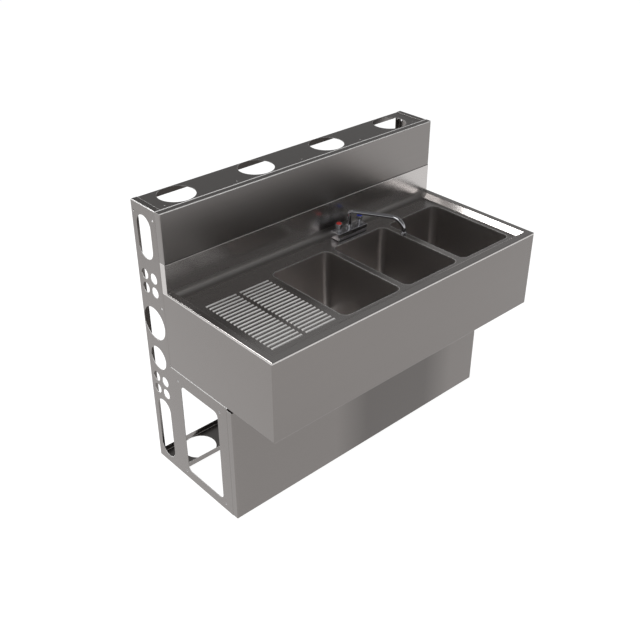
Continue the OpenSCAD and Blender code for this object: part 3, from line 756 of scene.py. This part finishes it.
@dataclass
class MixerTap:
    """Two-handle mixer tap on the deck behind the wells, in chrome.

    Attributes:
        finishes: The finishes.
        centre: Point on the spout's axis at the top of the tap body.
        half_centres: Distance from the spout to each handle.
        body: Length, width and height of the body.
        body_edge: Radius of the body's edges.
        foot_h: Height of the stepped foot of the body.
        foot_in: How much shorter and narrower that foot is.
        bonnet_h: Height of a bonnet above the body.
        handle_gap: Gap between a bonnet and its handle.
        knob_r: Radius of a handle at its widest.
        knob_h: Height of a handle without its coloured cap.
        lobes: Number of finger grips around a handle.
        lobe_sides: Number of the handle's sides for each grip.
        grip_levels: Lower and upper end of a grip, as shares of the handle's height.
        grip_half: Half the width of a grip, as a share of the step from grip to grip.
        grip_squeeze: Share of the radius that is left in a grip.
        cap_r: Radius of the coloured cap.
        cap_h: Height of the cap.
        cap_sunk: How much of that height lies in the handle.
        cap_lip: Height above the handle at which the cap's dome starts.
        dome_rings: Number of rings of the dome.
        dome_step: Angle from ring to ring, in degrees.
        nut_r: Radius of the nut over the swivel.
        nut_h: Height of that nut.
        nut_sides: Number of sides of its round parts.
        flats: Number of its wrench flats.
        flat_half: Half the width of a flat, as a share of the step from flat to flat.
        flat_squeeze: Share of the radius that is left at a flat.
        flat_edge: Radius of the nut's edges.
        tube_r: Radius of the spout's tube.
        tube_fit: Clearance around the tube.
        tube_sides: Number of sides of the tube.
        tube_low: Depth of the spout's foot inside the body.
        rise: Height of the spout's tube above the body.
        reach: Distance from the swivel to the outlet.
        elbow_r: Radius of the bend over the swivel.
        elbow_steps: Number of steps around that bend.
        bend_r: Radius of the bend at the outlet.
        bend_steps: Number of steps around that bend.
        outlet_h: Length of the straight end of the tube, inside the aerator.
        turn: Direction of the spout from +X, in degrees.
        tip_r: Radius of the aerator.
        tip_h: Height of the aerator.
        grooves: Number of grooves in its milled band.
        groove_squeeze: Share of the radius that is left in a groove.
    """

    finishes: Finishes
    centre: Vector = field(default_factory=lambda: Vector((0.1365, 0.124, 0.765)))
    half_centres: float = 0.0508
    body: Vector = field(default_factory=lambda: Vector((0.140, 0.044, 0.0285)))
    body_edge: float = 0.0022
    foot_h: float = 0.0025
    foot_in: float = 0.002
    bonnet_h: float = 0.009
    handle_gap: float = 0.0006
    knob_r: float = 0.0135
    knob_h: float = 0.020
    lobes: int = 8
    lobe_sides: int = 6
    grip_levels: tuple[float, float] = (0.28, 0.93)
    grip_half: float = 0.18
    grip_squeeze: float = 0.88
    cap_r: float = 0.0098
    cap_h: float = 0.0072
    cap_sunk: float = 0.002
    cap_lip: float = 0.0002
    dome_rings: int = 7
    dome_step: float = 12.5
    nut_r: float = 0.0125
    nut_h: float = 0.013
    nut_sides: int = 72
    flats: int = 6
    flat_half: float = 0.36
    flat_squeeze: float = 0.955
    flat_edge: float = 0.0003
    tube_r: float = 0.008
    tube_fit: float = 0.0001
    tube_sides: int = 40
    tube_low: float = 0.018
    rise: float = 0.062
    reach: float = 0.200
    elbow_r: float = 0.014
    elbow_steps: int = 12
    bend_r: float = 0.050
    bend_steps: int = 24
    outlet_h: float = 0.006
    turn: float = -60.0
    tip_r: float = 0.0105
    tip_h: float = 0.014
    grooves: int = 24
    groove_squeeze: float = 0.955

    @property
    def out(self) -> Vector:
        """Direction that the spout points in."""
        return Vector((math.cos(math.radians(self.turn)), math.sin(math.radians(self.turn)), 0))

    def beside(self, side: int) -> Vector:
        """Point at the top of the body, on the axis of a handle or of the spout.

        Args:
            side: -1 for hot, 1 for cold, 0 for the spout.

        Returns:
            The point.
        """
        return self.centre + Vector((side * self.half_centres, 0, 0))

    def build_body(self) -> None:
        """Shape the body: a block with rounded edges, a stepped foot and a ring at each fitting."""
        length, width, height = self.body
        middle = self.centre - up(height / 2)
        shell = block("Tap_body_shell", middle, self.body, self.body_edge, 4)
        squeeze(shell, lambda place: place.z < self.centre.z - height + self.foot_h,
                ((length - self.foot_in) / length, (width - self.foot_in) / width, 1), middle)
        ring = [(0.0172, -0.0008), (0.0172, 0.0004), (0.0168, 0.0009), (0.0160, 0.0012),
                (0.0100, 0.0013)]
        rings = [turned("Tap_ring", self.beside(side), ring) for side in (-1, 0, 1)]
        self.finishes.fit(joined("Tap_body", [shell, *rings]), "frame", "chrome", "tap_body")

    def build_bonnet(self, valve: Valve) -> None:
        """Turn a bonnet, with a flange, a neck and a stepped collar.

        Args:
            valve: The valve that it belongs to.
        """
        h = self.bonnet_h
        bonnet = turned(valve.label.title() + "_bonnet", self.beside(valve.value), [
            (0.0095, -0.008), (0.0095, 0.0002), (0.0127, 0.0003), (0.0130, 0.0008),
            (0.0130, 0.0017), (0.0126, 0.0022), (0.0112, 0.0026), (0.0108, 0.0036),
            (0.0108, 0.0052), (0.0104, 0.0056), (0.0098, 0.0058), (0.0096, h - 0.0014),
            (0.0091, h - 0.0004), (0.0084, h), (0.0060, h)])
        self.finishes.fit(bonnet, "frame", "chrome", valve.label + "_bonnet")

    def build_handle(self, valve: Valve) -> None:
        """Turn a handle, press its finger grips in and round it off.

        Args:
            valve: The valve that it turns.
        """
        foot = self.beside(valve.value) + up(self.bonnet_h + self.handle_gap)
        r, h = self.knob_r, self.knob_h
        handle = turned(valve.label.title() + "_handle", foot, [
            (r * 0.40, 0.0002), (r * 0.70, 0.0), (r * 0.73, 0.0), (r * 0.74, 0.0006),
            (r * 0.72, h * 0.12), (r * 0.74, h * 0.22), (r * 0.86, h * 0.32), (r * 0.96, h * 0.42),
            (r, h * 0.52), (r, h * 0.66), (r, h * 0.80), (r * 0.98, h * 0.90),
            (r * 0.92, h * 0.965), (r * 0.85, h * 0.995), (r * 0.80, h), (r * 0.765, h),
            (r * 0.755, h * 0.985), (r * 0.75, h * 0.90), (r * 0.30, h * 0.895),
        ], self.lobes * self.lobe_sides)
        low, high = self.grip_levels

        def in_grip(place: Vector) -> bool:
            """Tell whether a corner lies in a finger grip."""
            out = place - foot
            on_side = low < out.z / h < high and math.hypot(out.x, out.y) > r * 0.80
            return on_side and off_beat(out, self.lobes) < self.grip_half

        squeeze(handle, in_grip, (self.grip_squeeze, self.grip_squeeze, 1), foot)
        apply(handle, "SUBSURF", levels=2, render_levels=2)
        settle(handle, 40.0)
        self.finishes.fit(handle, valve.label + "_valve", "chrome", valve.label + "_handle")

    def build_cap(self, valve: Valve) -> None:
        """Turn the domed coloured cap in the top of a handle.

        Args:
            valve: The valve that it marks.
        """
        level = self.bonnet_h + self.handle_gap + self.knob_h - self.cap_sunk
        rim = self.cap_sunk + self.cap_lip
        dome_h = self.cap_h - self.cap_sunk - self.cap_lip
        rings = [(self.cap_r, 0.0003), (self.cap_r, rim)]
        for step in range(1, self.dome_rings + 1):
            angle = math.radians(self.dome_step * step)
            rings.append((self.cap_r * math.cos(angle), rim + dome_h * math.sin(angle)))
        cap = turned(valve.label.title() + "_cap", self.beside(valve.value) + up(level), rings)
        settle(cap, 60.0)
        self.finishes.fit(cap, valve.label + "_valve", valve.cap_slot, valve.label + "_index")

    def build_nut(self) -> None:
        """Turn the nut over the swivel, with flats for a wrench around its middle."""
        r, h = self.nut_r, self.nut_h
        nut = turned("Spout_nut", self.centre, [
            (r * 0.70, 0.0002), (r * 0.97, 0.0002), (r, 0.0008), (r, 0.0024), (r * 0.96, 0.0030),
            (r * 0.90, 0.0032), (r * 0.90, 0.0040), (r * 0.96, 0.0042), (r * 0.99, 0.0050),
            (r * 0.99, h * 0.66), (r * 0.94, h * 0.74), (r * 0.84, h * 0.86), (r * 0.76, h * 0.96),
            (r * 0.72, h), (self.tube_r + self.tube_fit, h)], self.nut_sides)

        def on_flat(place: Vector) -> bool:
            """Tell whether a corner lies on a wrench flat."""
            out = place - self.centre
            return 0.0041 < out.z < h * 0.70 and off_beat(out, self.flats) < self.flat_half

        squeeze(nut, on_flat, (self.flat_squeeze, self.flat_squeeze, 1), self.centre)
        apply(nut, "BEVEL", width=self.flat_edge, segments=2, limit_method="ANGLE",
              angle_limit=math.radians(40))
        settle(nut)
        self.finishes.fit(nut, "frame", "chrome", "spout_nut")

    def build_spout(self) -> None:
        """Sweep the spout: a ring extruded up, spun over the elbow, run out and spun down."""
        start_clean()
        out = self.out
        across = up(1).cross(out)
        bpy.ops.mesh.primitive_circle_add(
            vertices=self.tube_sides, radius=self.tube_r, location=self.centre - up(self.tube_low),
            rotation=(0, 0, math.radians(self.turn)))
        spout = bpy.context.object
        spout.name = "Spout"
        bpy.ops.object.transform_apply(location=True, rotation=True, scale=True)
        bpy.ops.object.mode_set(mode="EDIT")
        bpy.ops.mesh.select_mode(type="VERT")
        bpy.ops.mesh.select_all(action="SELECT")
        climb = self.rise - self.elbow_r + self.tube_low
        bpy.ops.mesh.extrude_region_move(TRANSFORM_OT_translate={"value": (0, 0, climb)})
        hub = self.centre + out * self.elbow_r + up(self.rise - self.elbow_r)
        quarter = math.radians(-90)
        bpy.ops.mesh.spin(steps=self.elbow_steps, angle=quarter, center=hub, axis=across)
        run = out * (self.reach - self.bend_r - self.elbow_r)
        bpy.ops.mesh.extrude_region_move(TRANSFORM_OT_translate={"value": run})
        hub = self.centre + out * (self.reach - self.bend_r) + up(self.rise - self.bend_r)
        bpy.ops.mesh.spin(steps=self.bend_steps, angle=quarter, center=hub, axis=across)
        bpy.ops.mesh.extrude_region_move(TRANSFORM_OT_translate={"value": (0, 0, -self.outlet_h)})
        bpy.ops.mesh.select_all(action="SELECT")
        bpy.ops.mesh.remove_doubles(threshold=MERGE_WITHIN)
        bpy.ops.mesh.fill_holes(sides=0)
        bpy.ops.mesh.select_all(action="SELECT")
        bpy.ops.mesh.normals_make_consistent(inside=False)
        bpy.ops.object.mode_set(mode="OBJECT")
        settle(spout, 40.0)
        self.finishes.fit(spout, "spout", "chrome", "spout_tube_piece")

    def build_aerator(self) -> None:
        """Turn the aerator, with a milled band and a recessed screen."""
        low = self.centre + self.out * self.reach + up(self.rise - self.bend_r - self.tip_h)
        r, h = self.tip_r, self.tip_h
        aerator = turned("Aerator", low, [
            (r * 0.30, 0.0016), (r * 0.66, 0.0018), (r * 0.70, 0.0018), (r * 0.74, 0.0004),
            (r * 0.78, 0.0), (r * 0.90, 0.0), (r * 0.96, 0.0004), (r * 0.98, 0.0012),
            (r * 0.98, 0.0036), (r * 0.94, 0.0040), (r * 0.94, 0.0046), (r, 0.0050),
            (r, h - 0.0034), (r * 0.94, h - 0.0030), (r * 0.92, h - 0.0014), (r * 0.88, h - 0.0004),
            (r * 0.80, h), (self.tube_r + self.tube_fit, h)], 4 * self.grooves)

        def in_groove(place: Vector) -> bool:
            """Tell whether a corner lies in a groove of the milled band, on every fourth side."""
            offset = place - low
            return 0.0048 < offset.z < h - 0.0032 and off_beat(offset, self.grooves) < 0.1

        squeeze(aerator, in_groove, (self.groove_squeeze, self.groove_squeeze, 1), low)
        settle(aerator)
        self.finishes.fit(aerator, "spout", "chrome", "aerator")

    def build(self) -> None:
        """Build the whole tap."""
        self.build_body()
        for valve in Valve:
            self.build_bonnet(valve)
            self.build_handle(valve)
            self.build_cap(valve)
        self.build_nut()
        self.build_spout()
        self.build_aerator()


@dataclass
class WasteFitting:
    """Waste fitting in the floor of a well, with a dished flange, a cross and a threaded body.

    Attributes:
        finishes: The finishes.
        well: The well that it drains.
        flange_r: Radius of the flange.
        flange_h: Height of the flange above the floor.
        body_r: Radius of the body.
        bore_r: Radius of the bore.
        body_h: Depth of the body below the floor.
        thread_top: Depth at which the thread starts.
        thread_turns: Number of turns of the thread.
        thread_pitch: Distance between two turns.
        thread_depth: Depth of the thread.
        bar: Width of a bar of the cross.
        bar_h: Height of a bar.
        bar_edge: Radius of its edges.
        bar_depth: Depth of its middle below the floor.
        bar_bite: How far each end of it reaches into the body.
    """

    finishes: Finishes
    well: Well
    flange_r: float = 0.032
    flange_h: float = 0.0025
    body_r: float = 0.0225
    bore_r: float = 0.0195
    body_h: float = 0.042
    thread_top: float = 0.0145
    thread_turns: int = 10
    thread_pitch: float = 0.0015
    thread_depth: float = 0.0005
    bar: float = 0.004
    bar_h: float = 0.0036
    bar_edge: float = 0.0009
    bar_depth: float = 0.0024
    bar_bite: float = 0.001

    def section(self) -> list[Ring]:
        """Section of the flange and the body.

        Returns:
            Radius and height of each corner, from the foot of the bore up and back down outside.
        """
        r, h, bore = self.flange_r, self.flange_h, self.bore_r
        corners = [
            (bore, -self.body_h), (bore, -0.0006), (bore + 0.0005, 0.0008), (bore + 0.0017, 0.0016),
            (bore + 0.0045, h * 0.86), (r - 0.0024, h), (r - 0.0012, h * 0.96),
            (r - 0.0004, h * 0.72), (r, h * 0.32), (r, 0.0), (self.body_r, 0.0),
            (self.body_r, -self.thread_top)]
        for turn in range(self.thread_turns):
            root = -self.thread_top - (turn + 0.5) * self.thread_pitch
            corners += [(self.body_r - self.thread_depth, root),
                        (self.body_r, root - self.thread_pitch / 2)]
        return corners + [(self.body_r, -self.body_h)]

    def build(self) -> None:
        """Build the fitting."""
        seat = Vector((self.well.value, *DRAIN_SEAT))
        hoop = turned(self.well.label.title() + "_waste", seat, self.section(), hollow=True)
        span = 2 * (self.bore_r + self.bar_bite)
        sizes = ((span, self.bar, self.bar_h), (self.bar, span, self.bar_h))
        bars = [block("Bar", seat - up(self.bar_depth), Vector(size), self.bar_edge)
                for size in sizes]
        waste = joined(hoop.name, [hoop, *bars])
        self.finishes.fit(waste, "frame", "chrome", self.well.label + "_waste")


@dataclass(frozen=True)
class Softbox:
    """Rectangular lamp that faces the sink top.

    Attributes:
        name: Name of the lamp.
        toward: Direction from the sink top to the lamp.
        distance: Distance of the lamp, in metres.
        size: Width and height of the lamp, in metres.
        radiance: Brightness of its face, where 1 is white.
    """

    name: str
    toward: Point
    distance: float
    size: tuple[float, float]
    radiance: float

    def hang(self, target: Vector) -> None:
        """Hang the lamp.

        Args:
            target: Point on the sink top that it faces.
        """
        data = bpy.data.lights.new(self.name, "AREA")
        data.shape = "RECTANGLE"
        data.size, data.size_y = self.size
        data.energy = self.radiance * math.pi * self.size[0] * self.size[1]
        lamp = bpy.data.objects.new(self.name, data)
        bpy.context.scene.collection.objects.link(lamp)
        aim = Vector(self.toward).normalized()
        lamp.location = target + aim * self.distance
        lamp.rotation_euler = aim.to_track_quat("Z", "Y").to_euler()
        LOG.info("lamp %s", self.name)


@dataclass
class Studio:
    """Floor, soft light and the camera at the photograph's viewing angle.

    Attributes:
        eye: Place of the camera, in metres.
        azimuth: Side that the camera stands on, in degrees round from the front, below 0 to the
            left.
        elevation: Height of the camera, as degrees above the level.
        lens: Focal length.
        sensor: Width of the sensor that the focal length goes with.
        target: Point on the sink top that the lamps face.
        softboxes: The lamps.
        front_sky: Brightness overhead in front of the sink, where 1 is white.
        back_sky: Brightness overhead behind the sink.
        front_to_back: Y of the direction over which one turns into the other.
        horizon_to_sky: Z of the direction over which the white low down turns into the sky.
        floor_reach: Side of the floor, in metres.
        floor_tone: Base colour of the floor, which the shadow darkens.
        floor_glow: Brightness that the floor has of itself.
    """

    eye: Vector = field(default_factory=lambda: Vector((-1.9016, -1.9586, 2.1912)))
    azimuth: float = -42.32
    elevation: float = 32.02
    lens: float = 50.52
    sensor: float = 36.0
    target: Vector = field(default_factory=lambda: Vector((0.2, -0.1, 0.75)))
    softboxes: tuple[Softbox, ...] = (
        Softbox("Back_left_softbox", (-0.46, 0.50, 0.735), 3.2, (1.5, 1.2), 9.0),
        Softbox("Front_left_softbox", (-0.51, -0.59, 0.62), 4.5, (2.1, 1.7), 3.0),
    )
    front_sky: float = 0.17
    back_sky: float = 0.23
    front_to_back: tuple[float, float] = (-0.30, 0.40)
    horizon_to_sky: tuple[float, float] = (0.02, 0.27)
    floor_reach: float = 60.0
    floor_tone: float = 0.35
    floor_glow: float = 0.93

    def camera(self) -> None:
        """Place the camera."""
        data = bpy.data.cameras.new("Camera")
        data.lens = self.lens
        data.sensor_width = self.sensor
        camera = bpy.data.objects.new("Camera", data)
        bpy.context.scene.collection.objects.link(camera)
        a, e = math.radians(self.azimuth), math.radians(self.elevation)
        back = Vector((math.sin(a) * math.cos(e), -math.cos(a) * math.cos(e), math.sin(e)))
        camera.rotation_euler = back.to_track_quat("Z", "Y").to_euler()
        camera.location = self.eye
        bpy.context.scene.camera = camera

    def world(self) -> None:
        """Set the world: white low down and to the camera, grey overhead."""
        world = bpy.data.worlds.new("World")
        bpy.context.scene.world = world
        world.use_nodes = True
        wiring = Wiring(world.node_tree)
        ray = wiring.node("TexCoord").outputs["Generated"]
        way = wiring.node("SeparateXYZ", {"Vector": ray}).outputs
        overhead = wiring.mapped(way["Y"], self.front_to_back, (self.front_sky, self.back_sky))
        sky = wiring.mapped(way["Z"], self.horizon_to_sky, (1.0, overhead))
        seen = wiring.node("LightPath").outputs["Is Camera Ray"]
        background = world.node_tree.nodes["Background"]
        wiring.feed(background, {"Color": (1, 1, 1, 1), "Strength": wiring.mixed(seen, sky, 1.0)})

    def floor(self) -> None:
        """Lay the white floor, which keeps the object's shadow."""
        start_clean()
        bpy.ops.mesh.primitive_plane_add(size=self.floor_reach)
        floor = bpy.context.object
        floor.name = "Floor"
        made, shader = material("floor_white")
        Wiring(made.node_tree).feed(shader, {
            "Base Color": (self.floor_tone, self.floor_tone, self.floor_tone, 1),
            "Roughness": 0.9, "Specular IOR Level": 0.0,
            "Emission Color": (1, 1, 1, 1), "Emission Strength": self.floor_glow})
        floor.data.materials.append(made)

    def build(self) -> None:
        """Set up the whole studio."""
        bpy.context.scene.view_settings.view_transform = "Standard"
        self.camera()
        for softbox in self.softboxes:
            softbox.hang(self.target)
        self.world()
        self.floor()


def main() -> None:
    """Build the looks piece by piece."""
    logging.basicConfig(level=logging.INFO)
    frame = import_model()
    finishes = Finishes()
    finishes.build()
    slots = {row["node"]: row["material_slot"] for row in frame["record"]["subparts"]}
    SheetMetal(slots).dress(frame["nodes"], finishes)
    MixerTap(finishes).build()
    for well in Well:
        WasteFitting(finishes, well).build()
    Studio().build()


if __name__ == "__main__":
    main()
